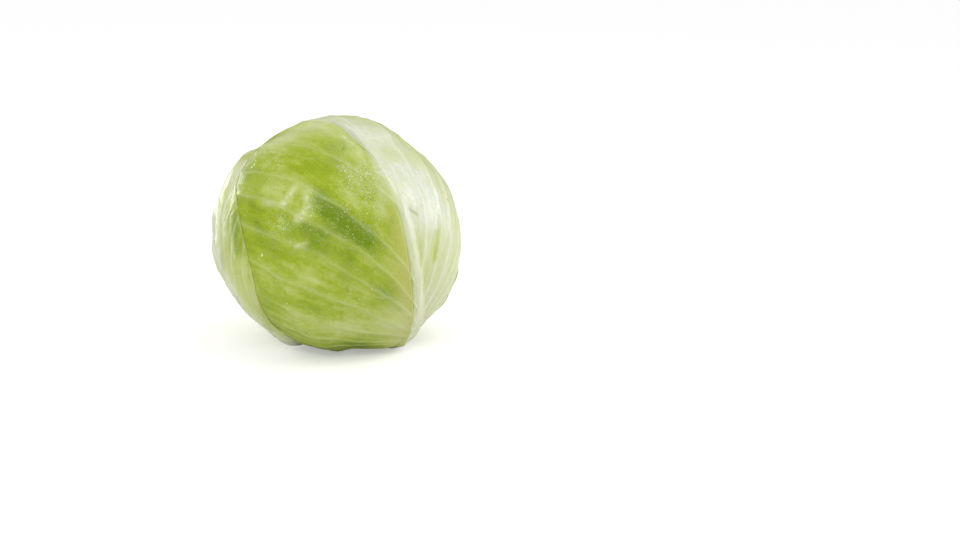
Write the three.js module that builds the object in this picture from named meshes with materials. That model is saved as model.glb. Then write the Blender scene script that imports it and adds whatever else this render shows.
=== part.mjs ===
import * as THREE from "three";

// A head of white cabbage resting on its cut stalk: a dense heart held in five wrapper leaves.
// Millimetres, +Z up, the front towards -Y. Places on the head are given in degrees as [azimuth, polar]:
// the azimuth runs from the front towards +X and the polar angle from the stalk up to the crown.

const centreHeight = 73; // of the heart's centre above the surface the head rests on

// The heart: an ellipsoid flattened under its widest place
const heart = {
  halfWidth: 82.3,
  crown: 80.3, // from its centre up to the top
  keel: 80, // from its centre down, before the flat underside
  flat: 65.6, // from its centre down to the flat underside
  corner: 20, // how sharply the side turns into the underside
  slack: 0.7, // by which its own skin lies inside that form
  rings: 20,
  sectors: 36,
};

// Places where the head bulges or lies flatter, and the shallow waves all over it
const swells = [
  { at: [80, 145], rise: -5, spread: 30 },
  { at: [46, 29], rise: 5.5, spread: 15 },
  { at: [84, 60], rise: 2.5, spread: 16 },
  { at: [-80, 54], rise: -7, spread: 22 },
  { at: [-58, 47], rise: -7.5, spread: 12 },
  { at: [130, 165], rise: 2, spread: 14 },
  { at: [-95, 110], rise: -3, spread: 40 },
];
const ripple = { rise: 0.35, around: 7, along: 5 };

// Every leaf: a thin blade with a thick midrib that narrows from the stalk to the tip
const blade = 0.8;
const gap = 1.05; // between a leaf and what it lies on
const pressedTo = 0.4; // height at which the head's weight presses the leaf stems flat
const tuck = 3; // degrees past an inner leaf's edge where an outer one starts to come down
const drape = 12; // degrees over which it does so
const midrib = {
  stalkHalf: 6.5, // half its width in degrees at the stalk
  baseHalf: 8.5, // where the blade begins
  tipHalf: 1.6, // and at the tip
  narrowing: 0.6, // how early it narrows along the blade
  tipRise: 0.3,
  lowering: 0.55, // how early it gets lower
  room: 1.5, // its width as the leaves outside it clear it
};

// The side veins, which leave the midrib mostly near its base and bend out towards the edge
const vein = {
  rise: 1,
  fade: 0.8, // share of its rise lost by the edge
  half: 0.02, // half the width of its foot as a share of the leaf's length
  narrowing: 0.55,
  foot: 0.06, // share of the way out over which it rises from the midrib
  crowding: 7.5,
  spacing: 0.06, // share of the midrib over which they would leave it evenly
  bend: { base: 0.5, beyond: 0.35, from: 0.4, settled: 0.7, climb: 1.5 },
};

// The waved edge of the blade, flat again from flatFrom to flatBy of the way to the tip
const hem = { depth: 0.16, waves: 9, steady: 0.6, flatFrom: 0.35, flatBy: 0.6 };

const stemRows = 4;
const stride = 11; // most degrees of midrib between two rows of a leaf
const rowSpacing = 0.08; // and most of the midrib's length, as a share of it
const columnGrowth = 1.15; // how the columns of a leaf widen from the midrib out

const stalk = { cutRadius: 13.2, radius: 12.6, height: 5, bevel: 0.8, segments: 32 };

// From the innermost leaf out. rib starts at the stalk and its second place is where the blade begins.
// left and right are the edges on either side of the midrib, from the stalk to the tip.
// stem is how high the midrib stands where the blade begins, curl how far the edge lifts where it is free.
const leaves = [
  {
    name: "right_inner_leaf",
    middle: [108, 95],
    lean: -14,
    rib: [[137, 14], [131, 30], [112, 65], [105, 90], [102, 115]],
    right: [[150, 32], [162, 56], [164, 85], [160, 110], [150, 132]],
    left: [[112, 27], [90, 28], [70, 42], [56, 65], [52, 90], [54, 112], [66, 134]],
    tip: [100, 150],
    stem: 2.4,
    curl: 0.8,
    veins: [0.35, 0.6, 0.8],
    columns: 7,
  },
  {
    name: "front_inner_leaf",
    middle: [-25, 95],
    lean: -12,
    rib: [[2, 14], [-2, 30], [-18, 62], [-26, 88], [-29, 112]],
    right: [[14, 28], [28, 38], [34, 65], [36, 90], [32, 115], [18, 138]],
    left: [[-18, 28], [-38, 30], [-62, 40], [-74, 62], [-80, 96], [-80, 115], [-70, 138]],
    tip: [-30, 154],
    stem: 2.4,
    curl: 0.8,
    veins: [0.35, 0.6, 0.8],
    columns: 7,
  },
  {
    name: "back_wrapper_leaf",
    middle: [-168, 96],
    lean: -14,
    rib: [[-142, 14], [-145, 30], [-160, 62], [-168, 90], [-171, 115], [-172, 135]],
    right: [[-130, 25], [-106, 25], [-82, 35], [-76, 54], [-78, 74], [-84, 94], [-89, 118], [-104, 146]],
    left: [[-162, 25], [174, 26], [150, 34], [130, 50], [117, 74], [112, 95], [112, 118], [116, 142]],
    tip: [12, 168],
    veins: [0.22, 0.38, 0.52, 0.64, 0.75, 0.86],
    stem: 4.6,
    curl: 1.6,
    columns: 11,
  },
  {
    name: "front_wrapper_leaf",
    middle: [40, 97],
    lean: -16,
    rib: [
      [54, 14], [53.5, 41], [48, 56], [41, 70], [36.5, 86], [34.5, 100], [33.5, 112], [30.5, 126], [29.5, 138],
      [31, 152], [24, 167], [-67, 171],
    ],
    right: [[70, 51], [77.5, 66], [90, 80], [100, 95], [105, 110], [108, 125], [115, 140], [140, 155]],
    left: [
      [38, 29], [16, 23], [-10, 22.5], [-20, 29], [-33, 44], [-48, 58], [-55, 74], [-60, 90], [-66, 105],
      [-79, 121], [-100, 138],
    ],
    tip: [-160, 157],
    veins: [0.2, 0.32, 0.41, 0.5, 0.58, 0.66, 0.73, 0.8, 0.89],
    stem: 4.6,
    curl: 1.6,
    columns: 12,
  },
  {
    name: "left_wrapper_leaf",
    middle: [-80, 92],
    lean: -20,
    rib: [[-45, 14], [-47, 42], [-51, 55], [-53, 68], [-58, 78], [-65, 86], [-78, 98], [-88, 112], [-94, 128]],
    right: [
      [-38, 46], [-39, 54], [-39, 62], [-38, 71], [-38, 81], [-40, 90], [-42.5, 96], [-46.5, 105], [-53, 113],
      [-60, 119], [-68, 128],
    ],
    left: [[-66, 53], [-85, 55], [-106, 59], [-122, 69], [-132, 80], [-132, 100], [-130, 120], [-120, 138]],
    tip: [-97, 144],
    veins: [0.22, 0.38, 0.52, 0.64, 0.75, 0.86],
    stem: 4.6,
    curl: 0.6,
    columns: 11,
  },
];

const { clamp, degToRad, radToDeg, lerp, smoothstep } = THREE.MathUtils;
const centre = new THREE.Vector3(0, 0, centreHeight);

// The direction from the heart's centre to a place on the head
function direction([azimuth, polar]) {
  const turn = degToRad(azimuth);
  const rise = degToRad(polar);
  return new THREE.Vector3(Math.sin(rise) * Math.sin(turn), -Math.sin(rise) * Math.cos(turn), -Math.cos(rise));
}

// A smooth curve through [at, value] pairs, held level past its ends
function through(points, at) {
  const last = points.length - 1;
  if (at <= points[0][0]) return points[0][1];
  if (at >= points[last][0]) return points[last][1];
  const i = points.findIndex((point) => point[0] > at) - 1;
  const slope = (k) => {
    const [from, to] = [points[Math.max(k - 1, 0)], points[Math.min(k + 1, last)]];
    return (to[1] - from[1]) / (to[0] - from[0]);
  };
  const step = points[i + 1][0] - points[i][0];
  const s = (at - points[i][0]) / step;
  const level = lerp(points[i][1], points[i + 1][1], s * s * (3 - 2 * s));
  return level + step * s * (1 - s) * (slope(i) * (1 - s) - slope(i + 1) * s);
}

function heartRadius(d) {
  const flatways = Math.hypot(d.x, d.y) / heart.halfWidth;
  const upright = d.z / (d.z > 0 ? heart.crown : heart.keel);
  let radius = 1 / Math.hypot(flatways, upright);
  if (d.z < 0) {
    const underside = -heart.flat / d.z;
    radius = (radius ** -heart.corner + underside ** -heart.corner) ** (-1 / heart.corner);
  }
  for (const { at, rise, spread } of swells) {
    const away = radToDeg(d.angleTo(direction(at))) / spread;
    radius += rise * Math.exp(-away * away);
  }
  const turn = Math.atan2(d.x, -d.y);
  return radius + ripple.rise * Math.sin(ripple.around * turn + ripple.along * d.z) * Math.hypot(d.x, d.y);
}

// A leaf's own flat frame, in degrees: x across it and y along it to the tip, from the blade's middle
function prepare(leaf) {
  const middle = direction(leaf.middle);
  const up = direction([leaf.middle[0], leaf.middle[1] + 90]);
  const right = new THREE.Vector3().crossVectors(up, middle);
  const lean = degToRad(leaf.lean);
  const frame = {
    middle,
    up: up.clone().multiplyScalar(Math.cos(lean)).addScaledVector(right, Math.sin(lean)),
    right: right.clone().multiplyScalar(Math.cos(lean)).addScaledVector(up, -Math.sin(lean)),
  };
  const local = (place) => flatten(frame, direction(place));
  const tip = local(leaf.tip);
  const rib = leaf.rib.map((place) => local(place)).map(({ x, y }) => [y, x]);
  rib.push([tip.spread, 0]);
  const base = rib[0][0];
  const start = rib[1][0];
  const edge = [[0, tip.spread]];
  for (const [side, places] of [[1, leaf.right], [-1, leaf.left]]) {
    const x = rib[1][1] + side * stemHalf(0);
    edge.push([radToDeg(Math.atan2(x, start)), Math.hypot(x, start)]);
    for (const place of places) {
      const { turn, spread } = local(place);
      edge.push([turn, spread]);
    }
  }
  edge.sort((a, b) => a[0] - b[0]);
  return { ...leaf, frame, rib, edge, base, start, end: tip.spread };
}

function flatten(frame, d) {
  const spread = radToDeg(Math.acos(clamp(d.dot(frame.middle), -1, 1)));
  const angle = Math.atan2(d.dot(frame.right), d.dot(frame.up));
  return { x: spread * Math.sin(angle), y: spread * Math.cos(angle), spread, turn: radToDeg(angle) };
}

function raise(frame, x, y) {
  const spread = Math.hypot(x, y) || 1e-9;
  const s = Math.sin(degToRad(spread)) / spread;
  return new THREE.Vector3()
    .addScaledVector(frame.middle, Math.cos(degToRad(spread)))
    .addScaledVector(frame.right, s * x)
    .addScaledVector(frame.up, s * y);
}

// Half the width of a midrib, share running from the blade's start (0) to the tip (1)
function stemHalf(share) {
  return lerp(midrib.baseHalf, midrib.tipHalf, clamp(share, 0, 1) ** midrib.narrowing);
}

function midribRise(leaf, x, y, widened = 1) {
  const share = clamp((y - leaf.start) / (leaf.end - leaf.start), 0, 1);
  const off = (x - through(leaf.rib, y)) / (stemHalf(share) * widened);
  const crest = lerp(leaf.stem, midrib.tipRise, share ** midrib.lowering);
  return Math.abs(off) < 1 ? crest * (1 - off * off) ** 2 : 0;
}

// How high side veins stand at a share of the way from the middle to the edge
function veinRise(share) {
  return vein.rise * (1 - vein.fade * clamp(share, 0, 1) ** 3);
}

// How fully a leaf lies over a direction: 1 as far as its edge, then falling to 0
function cover(leaf, d) {
  const { x, y, spread, turn } = flatten(leaf.frame, d);
  const pastBlade = spread - through(leaf.edge, turn);
  const pastStem = Math.max(Math.abs(x - through(leaf.rib, y)) - midrib.baseHalf, y - leaf.start, leaf.base - y);
  return 1 - smoothstep(Math.min(pastBlade, pastStem) - tuck, 0, drape);
}

// The room a leaf takes up over a direction, for the leaves outside it
function bulk(leaf, d) {
  const { x, y, spread, turn } = flatten(leaf.frame, d);
  const share = spread / through(leaf.edge, turn);
  return cover(leaf, d) * (blade + gap + veinRise(share) + midribRise(leaf, x, y, midrib.room));
}

// Where a row leaves the midrib
function ribHeight(leaf, along) {
  return lerp(leaf.start, leaf.end, lerp(along ** vein.crowding, along, vein.spacing));
}

// A place on the stem, which has no blade beside it
function stemPlace(leaf, side, along, across) {
  const y = lerp(leaf.base, leaf.start, along);
  return [through(leaf.rib, y) + side * across * lerp(midrib.stalkHalf, midrib.baseHalf, along), y];
}

// A place on the blade, whose rows run from the midrib out to the edge as the side veins do
function bladePlace(leaf, side, along, across) {
  const y = ribHeight(leaf, along);
  const from = [through(leaf.rib, y), y];
  const first = side > 0 ? leaf.edge.at(-1)[0] : leaf.edge[0][0];
  const turn = first * (1 - along);
  const reach = through(leaf.edge, turn);
  const to = [reach * Math.sin(degToRad(turn)), reach * Math.cos(degToRad(turn))];
  const bend = lerp(vein.bend.base, vein.bend.beyond, smoothstep(along, vein.bend.from, vein.bend.settled));
  const via = [lerp(from[0], to[0], bend), lerp(from[1], to[1], 1 - bend * vein.bend.climb)];
  const [a, b, c] = [(1 - across) ** 2, 2 * across * (1 - across), across ** 2];
  return [0, 1].map((k) => a * from[k] + b * via[k] + c * to[k]);
}

// The rows of the stem, then three to each side vein with the spaces between them filled
function rowsOf(leaf) {
  const rows = [];
  for (let k = 0; k < stemRows; k++) rows.push({ along: k / stemRows, onStem: true, crest: 0, shift: 0 });
  const marks = [{ along: 0, crest: 0, shift: 0 }];
  for (const along of leaf.veins) {
    for (const shift of [-1, 0, 1]) marks.push({ along, crest: shift ? 0 : 1, shift });
  }
  marks.push({ along: 1, crest: 0, shift: 0 });
  marks.forEach((mark, i) => {
    rows.push(mark);
    const next = marks[i + 1];
    if (!next || next.along === mark.along) return;
    const climb = ribHeight(leaf, next.along) - ribHeight(leaf, mark.along);
    const fill = Math.ceil(Math.max((next.along - mark.along) / rowSpacing, climb / stride));
    for (let k = 1; k < fill; k++) rows.push({ along: lerp(mark.along, next.along, k / fill), crest: 0, shift: 0 });
  });
  return rows;
}

function leafGeometry(leaf, inner, outer) {
  const rows = rowsOf(leaf);
  const found = new Map();
  const outerPoints = [];
  const innerPoints = [];
  const vertex = (side, row, column) => {
    const across = (column / leaf.columns) ** columnGrowth;
    const along = row.along + row.shift * vein.half * (1 - vein.narrowing * across);
    const [x, y] = (row.onStem ? stemPlace : bladePlace)(leaf, side, along, across);
    const key = x.toFixed(3) + " " + y.toFixed(3);
    if (!found.has(key)) {
      const d = raise(leaf.frame, x, y);
      const { spread, turn } = flatten(leaf.frame, d);
      const share = spread / through(leaf.edge, turn);
      const low = 1 - smoothstep(row.along, hem.flatFrom, hem.flatBy);
      const lift = row.onStem ? 0 : leaf.curl * low * smoothstep(across, 1 - hem.depth, 1);
      const wave = hem.steady + (1 - hem.steady) * Math.sin(2 * Math.PI * hem.waves * row.along + side);
      const free = outer.reduce((left, other) => left * (1 - cover(other, d)), 1);
      const curl = free * lift * wave;
      let radius = heartRadius(d) + gap + curl;
      for (const other of inner) radius += bulk(other, d);
      const ridge = row.crest * veinRise(share) * smoothstep(across, 0, vein.foot);
      const thickness = blade + midribRise(leaf, x, y) + ridge;
      const pressed = d.z < 0 ? (pressedTo - centreHeight) / d.z : Infinity;
      innerPoints.push(centre.clone().addScaledVector(d, radius));
      outerPoints.push(centre.clone().addScaledVector(d, Math.min(radius + thickness, pressed)));
      found.set(key, outerPoints.length - 1);
    }
    return found.get(key);
  };
  const triangles = [];
  for (const side of [1, -1]) {
    for (let i = 0; i + 1 < rows.length; i++) {
      for (let j = 0; j < leaf.columns; j++) {
        const corners = [
          vertex(side, rows[i], j), vertex(side, rows[i], j + 1),
          vertex(side, rows[i + 1], j + 1), vertex(side, rows[i + 1], j),
        ];
        if (side < 0) corners.reverse();
        triangles.push([corners[0], corners[1], corners[2]], [corners[0], corners[2], corners[3]]);
      }
    }
  }
  return shell(outerPoints, innerPoints, triangles.filter(([a, b, c]) => a !== b && b !== c && c !== a));
}

// Closes a sheet into a solid: its outer face, the same triangles turned round on its inner face, and a rim
function shell(outerPoints, innerPoints, triangles) {
  const count = outerPoints.length;
  const edges = new Map();
  const indices = [];
  for (const [a, b, c] of triangles) {
    indices.push(a, b, c, a + count, c + count, b + count);
    for (const [from, to] of [[a, b], [b, c], [c, a]]) {
      if (!edges.delete(to + " " + from)) edges.set(from + " " + to, [from, to]);
    }
  }
  for (const [from, to] of edges.values()) {
    indices.push(to, from, from + count, to, from + count, to + count);
  }
  return new THREE.BufferGeometry().setFromPoints([...outerPoints, ...innerPoints]).setIndex(indices);
}

function heartGeometry() {
  const geometry = new THREE.SphereGeometry(1, heart.sectors, heart.rings);
  geometry.rotateX(Math.PI / 2);
  const positions = geometry.getAttribute("position");
  const point = new THREE.Vector3();
  for (let i = 0; i < positions.count; i++) {
    point.fromBufferAttribute(positions, i).normalize();
    point.multiplyScalar(heartRadius(point) - heart.slack).add(centre);
    positions.setXYZ(i, point.x, point.y, point.z);
  }
  return geometry;
}

function stalkGeometry() {
  const profile = [
    [0, 0],
    [stalk.cutRadius - stalk.bevel, 0],
    [stalk.cutRadius, stalk.bevel],
    [stalk.radius, stalk.height],
    [0, stalk.height],
  ].map(([radius, height]) => new THREE.Vector2(radius, height));
  return new THREE.LatheGeometry(profile, stalk.segments).rotateX(Math.PI / 2);
}

function piece(name, geometry, colour, roughness) {
  geometry.computeVertexNormals();
  const material = new THREE.MeshStandardMaterial({ color: colour, roughness, metalness: 0 });
  const mesh = new THREE.Mesh(geometry, material);
  mesh.name = name;
  return mesh;
}

const head = new THREE.Group();
head.add(piece("stalk", stalkGeometry(), 0xe6e2c0, 0.8));
head.add(piece("heart", heartGeometry(), 0xdde6b4, 0.6));
leaves.map(prepare).forEach((leaf, i, all) => {
  const geometry = leafGeometry(leaf, all.slice(0, i), all.slice(i + 1));
  head.add(piece(leaf.name, geometry, 0xa3c04c, 0.45));
});

// The origin lies on the ground under the middle of the head's own extents
const extents = new THREE.Box3().setFromObject(head);
const middle = extents.getCenter(new THREE.Vector3());
head.position.set(-middle.x, -middle.y, -extents.min.z);

const cabbage = new THREE.Group();
cabbage.name = "cabbage";
cabbage.add(head);

export default cabbage;
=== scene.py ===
import math
from functools import partial
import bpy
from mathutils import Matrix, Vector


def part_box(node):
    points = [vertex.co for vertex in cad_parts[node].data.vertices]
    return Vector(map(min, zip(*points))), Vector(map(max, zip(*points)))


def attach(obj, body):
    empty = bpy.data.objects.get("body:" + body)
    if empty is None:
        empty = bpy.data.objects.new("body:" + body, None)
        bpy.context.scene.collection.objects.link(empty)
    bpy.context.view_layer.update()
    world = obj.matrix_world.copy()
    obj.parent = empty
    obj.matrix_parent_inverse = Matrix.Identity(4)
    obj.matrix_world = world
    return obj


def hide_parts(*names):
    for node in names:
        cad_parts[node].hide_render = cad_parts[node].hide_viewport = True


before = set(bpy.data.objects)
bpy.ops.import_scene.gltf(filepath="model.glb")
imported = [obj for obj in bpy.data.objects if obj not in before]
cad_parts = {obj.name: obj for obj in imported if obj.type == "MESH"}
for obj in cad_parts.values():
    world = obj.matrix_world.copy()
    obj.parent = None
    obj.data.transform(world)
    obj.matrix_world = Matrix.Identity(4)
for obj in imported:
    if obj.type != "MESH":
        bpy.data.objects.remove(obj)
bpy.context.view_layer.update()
from types import SimpleNamespace

import bmesh
import bpy
import numpy as np
from mathutils import Matrix, Vector, noise
from mathutils.bvhtree import BVHTree

# A head of white cabbage: a dense heart, its cut stalk, two inner and three wrapper leaves, and water drops.
# Places on the head are in degrees as (azimuth, polar): the azimuth runs from the front towards +X,
# the polar angle from the stalk up to the crown. Lengths are in millimetres until a mesh is placed.
milli = 0.001
stalkLow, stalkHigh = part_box("stalk")
growthAxis = (stalkLow + stalkHigh) / 2

headForm = {
    "centreHeight": 73,
    "halfWidth": 82.3,
    "crown": 80.3,  # from the centre up
    "keel": 80,  # from the centre down, before the underside is flattened
    "flat": 65.6,  # from the centre down to the flat underside
    "corner": 20,  # the higher, the sharper the flat underside turns up
    "slack": 0.7,  # between the heart and the leaves
    "ripple": {"rise": 0.35, "around": 7, "along": 5},
    "outside": 130,  # from the centre, clear of every leaf
}
# broad bulges and hollows of the head: place, rise and spread in degrees
swells = [
    ((80, 145), -5, 30),
    ((46, 29), 5.5, 15),
    ((84, 60), 2.5, 16),
    ((-80, 54), -7, 22),
    ((-58, 47), -7.5, 12),
    ((130, 165), 2, 14),
    ((-95, 110), -3, 40),
]
headCentre = np.array([growthAxis.x / milli, growthAxis.y / milli, headForm["centreHeight"]])
degree = math.radians(headForm["halfWidth"])  # of arc, as a length on the skin


def smooth(at, low, high):
    share = np.clip((at - low) / (high - low), 0, 1)
    return share * share * (3 - 2 * share)


def lerp(low, high, share):
    return low + (high - low) * share


def direction(azimuth, polar):
    turn, rise = np.radians(azimuth), np.radians(polar)
    level = np.sin(rise)
    return np.stack([level * np.sin(turn), -level * np.cos(turn), -np.cos(rise)], axis=-1)


def through(points, at):
    # a smooth curve through (at, value) pairs, held level past its ends
    places, values = np.array(points, float).T
    slopes = np.empty(len(places))
    slopes[1:-1] = (values[2:] - values[:-2]) / (places[2:] - places[:-2])
    slopes[0] = (values[1] - values[0]) / (places[1] - places[0])
    slopes[-1] = (values[-1] - values[-2]) / (places[-1] - places[-2])
    at = np.clip(at, places[0], places[-1])
    i = np.clip(np.searchsorted(places, at, side="right") - 1, 0, len(places) - 2)
    step = places[i + 1] - places[i]
    s = (at - places[i]) / step
    level = lerp(values[i], values[i + 1], s * s * (3 - 2 * s))
    return level + step * s * (1 - s) * (slopes[i] * (1 - s) - slopes[i + 1] * s)


def heartRadius(d):
    z = d[..., 2]
    flatways = np.hypot(d[..., 0], d[..., 1])
    upright = z / np.where(z > 0, headForm["crown"], headForm["keel"])
    radius = 1 / np.hypot(flatways / headForm["halfWidth"], upright)
    corner = headForm["corner"]
    underside = headForm["flat"] / np.maximum(-z, 1e-3)
    pressed = (radius ** -corner + underside ** -corner) ** (-1 / corner)
    radius = np.where(z < 0, pressed, radius)
    for spot, rise, spread in swells:
        away = np.degrees(np.arccos(np.clip(d @ direction(*spot), -1, 1))) / spread
        radius = radius + rise * np.exp(-away * away)
    ripple = headForm["ripple"]
    turn = np.arctan2(d[..., 0], -d[..., 1])
    return radius + ripple["rise"] * np.sin(ripple["around"] * turn + ripple["along"] * z) * flatways


# From the innermost leaf out. The rib starts at the stalk and its second place is where the blade begins.
# left and right are the edges on either side of it, from the stalk to the tip, and pallor is how pale both
# sides are. veins are places along the midrib, stem is its height and curl the lift of a free hem. The sheet
# has columns left and right of the midrib and rows on the stem and on the blade. Shades, swellings, blooms
# and bruises are soft strokes on the skin: from, to, spread in degrees and by how much. The blooms are wax
# bloom and painted highlight, and low on the head they are painted light.
innerLeaf = {"stem": 2.4, "curl": 0.8, "veins": (0.35, 0.6, 0.8), "pallor": (0.4, 0.4)}
wrapperLeaf = {"stem": 4.6, "curl": 1.6, "veins": (0.22, 0.38, 0.52, 0.64, 0.75, 0.86)}
leaves = [
    {
        **innerLeaf,
        "name": "right_inner_leaf",
        "middle": (108, 95),
        "lean": -14,
        "rib": [(137, 14), (131, 30), (112, 65), (105, 90), (102, 115)],
        "right": [(150, 32), (162, 56), (164, 85), (160, 110), (150, 132)],
        "left": [(112, 27), (90, 28), (70, 42), (56, 65), (52, 90), (54, 112), (66, 134)],
        "tip": (100, 150),
        "columns": (24, 20),
        "rows": (6, 46),
        "seed": 11,
    },
    {
        **innerLeaf,
        "name": "front_inner_leaf",
        "middle": (-25, 95),
        "lean": -12,
        "rib": [(2, 14), (-2, 30), (-18, 62), (-26, 88), (-29, 112)],
        "right": [(28, 38), (34, 65), (36, 90), (32, 115), (18, 138)],
        "left": [(-18, 28), (-38, 30), (-62, 40), (-74, 62), (-80, 96), (-80, 115), (-70, 138)],
        "tip": (-30, 154),
        "columns": (20, 20),
        "rows": (6, 40),
        "seed": 12,
    },
    {
        **wrapperLeaf,
        "name": "back_wrapper_leaf",
        "middle": (-168, 96),
        "lean": -14,
        "rib": [(-142, 14), (-145, 30), (-160, 62), (-168, 90), (-171, 115), (-172, 135)],
        "right": [(-106, 25), (-82, 35), (-76, 54), (-78, 74), (-84, 94), (-89, 118), (-104, 146)],
        "left": [(-162, 25), (174, 26), (150, 34), (130, 50), (117, 74), (112, 95), (112, 118), (116, 142)],
        "tip": (12, 168),
        "pallor": (0.15, 0.3),
        "columns": (32, 34),
        "rows": (6, 66),
        "seed": 13,
    },
    {
        **wrapperLeaf,
        "name": "front_wrapper_leaf",
        "middle": (40, 97),
        "lean": -16,
        "rib": [
            (54, 14), (53.5, 41), (48, 56), (41, 70), (36.5, 86), (34.5, 100), (33.5, 112), (30.5, 126),
            (29.5, 138), (31, 152), (24, 167), (-67, 171),
        ],
        "right": [
            (70, 51), (77.5, 66), (90, 80), (100, 95), (105, 110), (108, 125), (115, 140), (140, 155),
        ],
        "left": [
            (38, 29), (16, 23), (-10, 22.5), (-20, 29), (-33, 44), (-48, 58), (-55, 74), (-60, 90),
            (-66, 105), (-79, 121), (-100, 138),
        ],
        "tip": (-160, 157),
        "veins": (0.2, 0.32, 0.41, 0.5, 0.58, 0.66, 0.73, 0.8, 0.89),
        "columns": (44, 28),
        "pallor": (0, 0.85),
        "fold": {
            "edge": (3.2, 1),  # degrees left of the midrib's middle, at its foot and at its tip
            "starts": (-6, 4),  # degrees up from where the blade begins
            "fades": (0.28, 0.6),  # along the midrib
            "rise": 3.2,
            "steep": 1.8,
            "spread": 11,
            "olive": (-0.2, 0.5, 2.5, 6),  # the olive strip outside the edge, in degrees
            "band": (-0.25, 0.35, 4.5, 2.5),  # the pale strip inside it
        },
        "shades": [
            ((-8, 118), (13, 103), 4.5, 0.42), ((-13, 106), (-4, 104), 4, 0.25),
            ((-4, 113), (3, 112), 3, 0.25), ((4, 106), (17, 98), 4.5, 0.28),
            ((-9, 98), (5, 95), 5, 0.25), ((-17, 106), (-9, 101), 4.5, 0.1),
            ((-28, 98), (-16, 92), 3.5, 0.08), ((4, 88), (13, 84), 4, 0.16),
            ((21, 79), (30, 70), 5, 0.2), ((26, 107), (30, 95), 3.5, 0.2),
            ((38, 134), (30, 117), 3.5, -0.25), ((-45, 114), (-34, 101), 3.5, 0.2),
            ((-34, 73), (-25, 72), 3.5, 0.2), ((-18, 71), (1, 63), 3, 0.1),
            ((-14, 38), (14, 40), 6, 0.22), ((12, 44), (40, 34), 5, 0.3),
            ((-8, 150), (7, 140), 6, 0.15), ((41, 169), (7, 146), 1, 0.25),
            ((-50, 133), (-15, 132), 6, -0.03), ((-37, 122), (-19, 125), 6, -0.15),
            ((-26, 133), (-17, 133), 4, 0.1), ((9, 144), (18, 144), 4, -0.14),
            ((-48, 112), (-43, 110), 3, -0.1), ((-7, 80), (1, 77), 4, 0.15),
            ((-31, 78), (-20, 66), 5, -0.12), ((-44, 88), (-42, 82), 4, -0.1),
            ((-18, 62), (-2, 55), 6, -0.15), ((-20, 86), (-3, 81), 5, -0.15),
            ((4, 59), (36, 56), 7, -0.3), ((56, 36), (52, 45), 7, -0.25),
            # the first stroke on the next line, across the crown, lightens its rim: a painted sheen
            ((-60, 150), (60, 165), 12, -0.3), ((40, 98), (39, 88), 1.8, 0.25),
            ((54, 100), (50, 88), 2.5, 0.35),
        ],
        "swellings": [
            ((-15, 120), (-16, 110), 2.6, 0.8), ((-24, 123), (-26, 117), 2.4, 0.7),
            ((-31, 107), (-24, 104), 2.6, 0.5), ((41, 169), (7, 146), 0.9, -0.5),
        ],
        # partly wax bloom, mostly painted highlight and painted sheen; the stroke low on the head, from (28,
        # 67), is painted light that makes up for the weaker light there
        "bloomsAndHighlights": [
            ((44, 131), (47, 108), 9, 0.95), ((62, 126), (62, 106), 8, 0.9),
            ((-76, 128), (-60, 152), 6, 0.45), ((-55, 160), (60, 155), 9, 0.4),
            ((-110, 150), (-70, 168), 8, 0.4), ((50, 158), (75, 143), 8, 0.35),
            ((27, 133), (22, 112), 3.5, 0.4), ((42, 150), (28, 134), 3.5, 0.35),
            ((14, 158), (21, 138), 3.5, 0.5), ((3, 151), (12, 136), 7, 0.2),
            ((-50, 122), (-38, 124), 5, 0.12), ((36, 114), (35, 102), 4, 0.35),
            ((28, 67), (44, 52), 6, 0.3), ((-22, 124), (-26, 117), 1.5, 0.9),
            ((-15, 122), (-13, 116), 1.8, 0.8), ((-18, 110), (-15, 112), 1.9, 0.95),
            ((-38, 116), (-27, 116), 1.6, 0.45), ((-18, 98), (-13, 100), 0.9, 0.55),
        ],
        "bruises": [
            ((5, 78), (4, 80), 0.5, 0.7), ((38, 112), (42, 109), 0.5, 0.6),
        ],
        "rows": (6, 72),
        "seed": 14,
    },
    {
        **wrapperLeaf,
        "name": "left_wrapper_leaf",
        "middle": (-80, 92),
        "lean": -20,
        "rib": [
            (-45, 14), (-47, 42), (-51, 55), (-53, 68), (-58, 78), (-65, 86), (-78, 98), (-88, 112),
            (-94, 128),
        ],
        "right": [
            (-39.5, 54), (-40, 63), (-40, 72), (-40, 81), (-42, 91), (-45, 97.5), (-49.5, 105.5),
            (-56, 113), (-63, 118.5), (-70, 123), (-77, 133),
        ],
        "left": [(-85, 55), (-106, 59), (-122, 69), (-132, 80), (-132, 100), (-130, 120), (-120, 138)],
        "tip": (-97, 144),
        "petiole": (8.5, 12),
        "curl": 0.6,
        "hug": 1,
        "pallor": (0.75, 0.3),
        "shades": [
            ((-54, 108), (-48, 94), 3.5, 0.28), ((-46, 86), (-42, 70), 4, -0.15),
            # the next stroke lightens the leaf's upper part: a painted highlight on its paler skin
            ((-86, 119), (-77, 129), 10, -0.4),
        ],
        # painted highlights on the leaf's pale skin, with some wax bloom
        "bloomsAndHighlights": [
            ((-88, 112), (-68, 90), 7, 0.75), ((-68, 109), (-59, 98), 3, 0.75),
            ((-66, 99), (-72, 90), 2.6, 0.6), ((-57, 106), (-50.5, 90), 1, 0.6),
            ((-80, 130), (-70, 120), 6, 0.6), ((-76, 125), (-66, 85), 12, 0.3),
        ],
        "swellings": [
            ((-62, 104), (-58, 92), 2.2, 0.6), ((-74, 108), (-68, 92), 2.6, 0.8),
        ],
        "columns": (32, 26),
        "rows": (8, 62),
        "seed": 15,
    },
]
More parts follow.
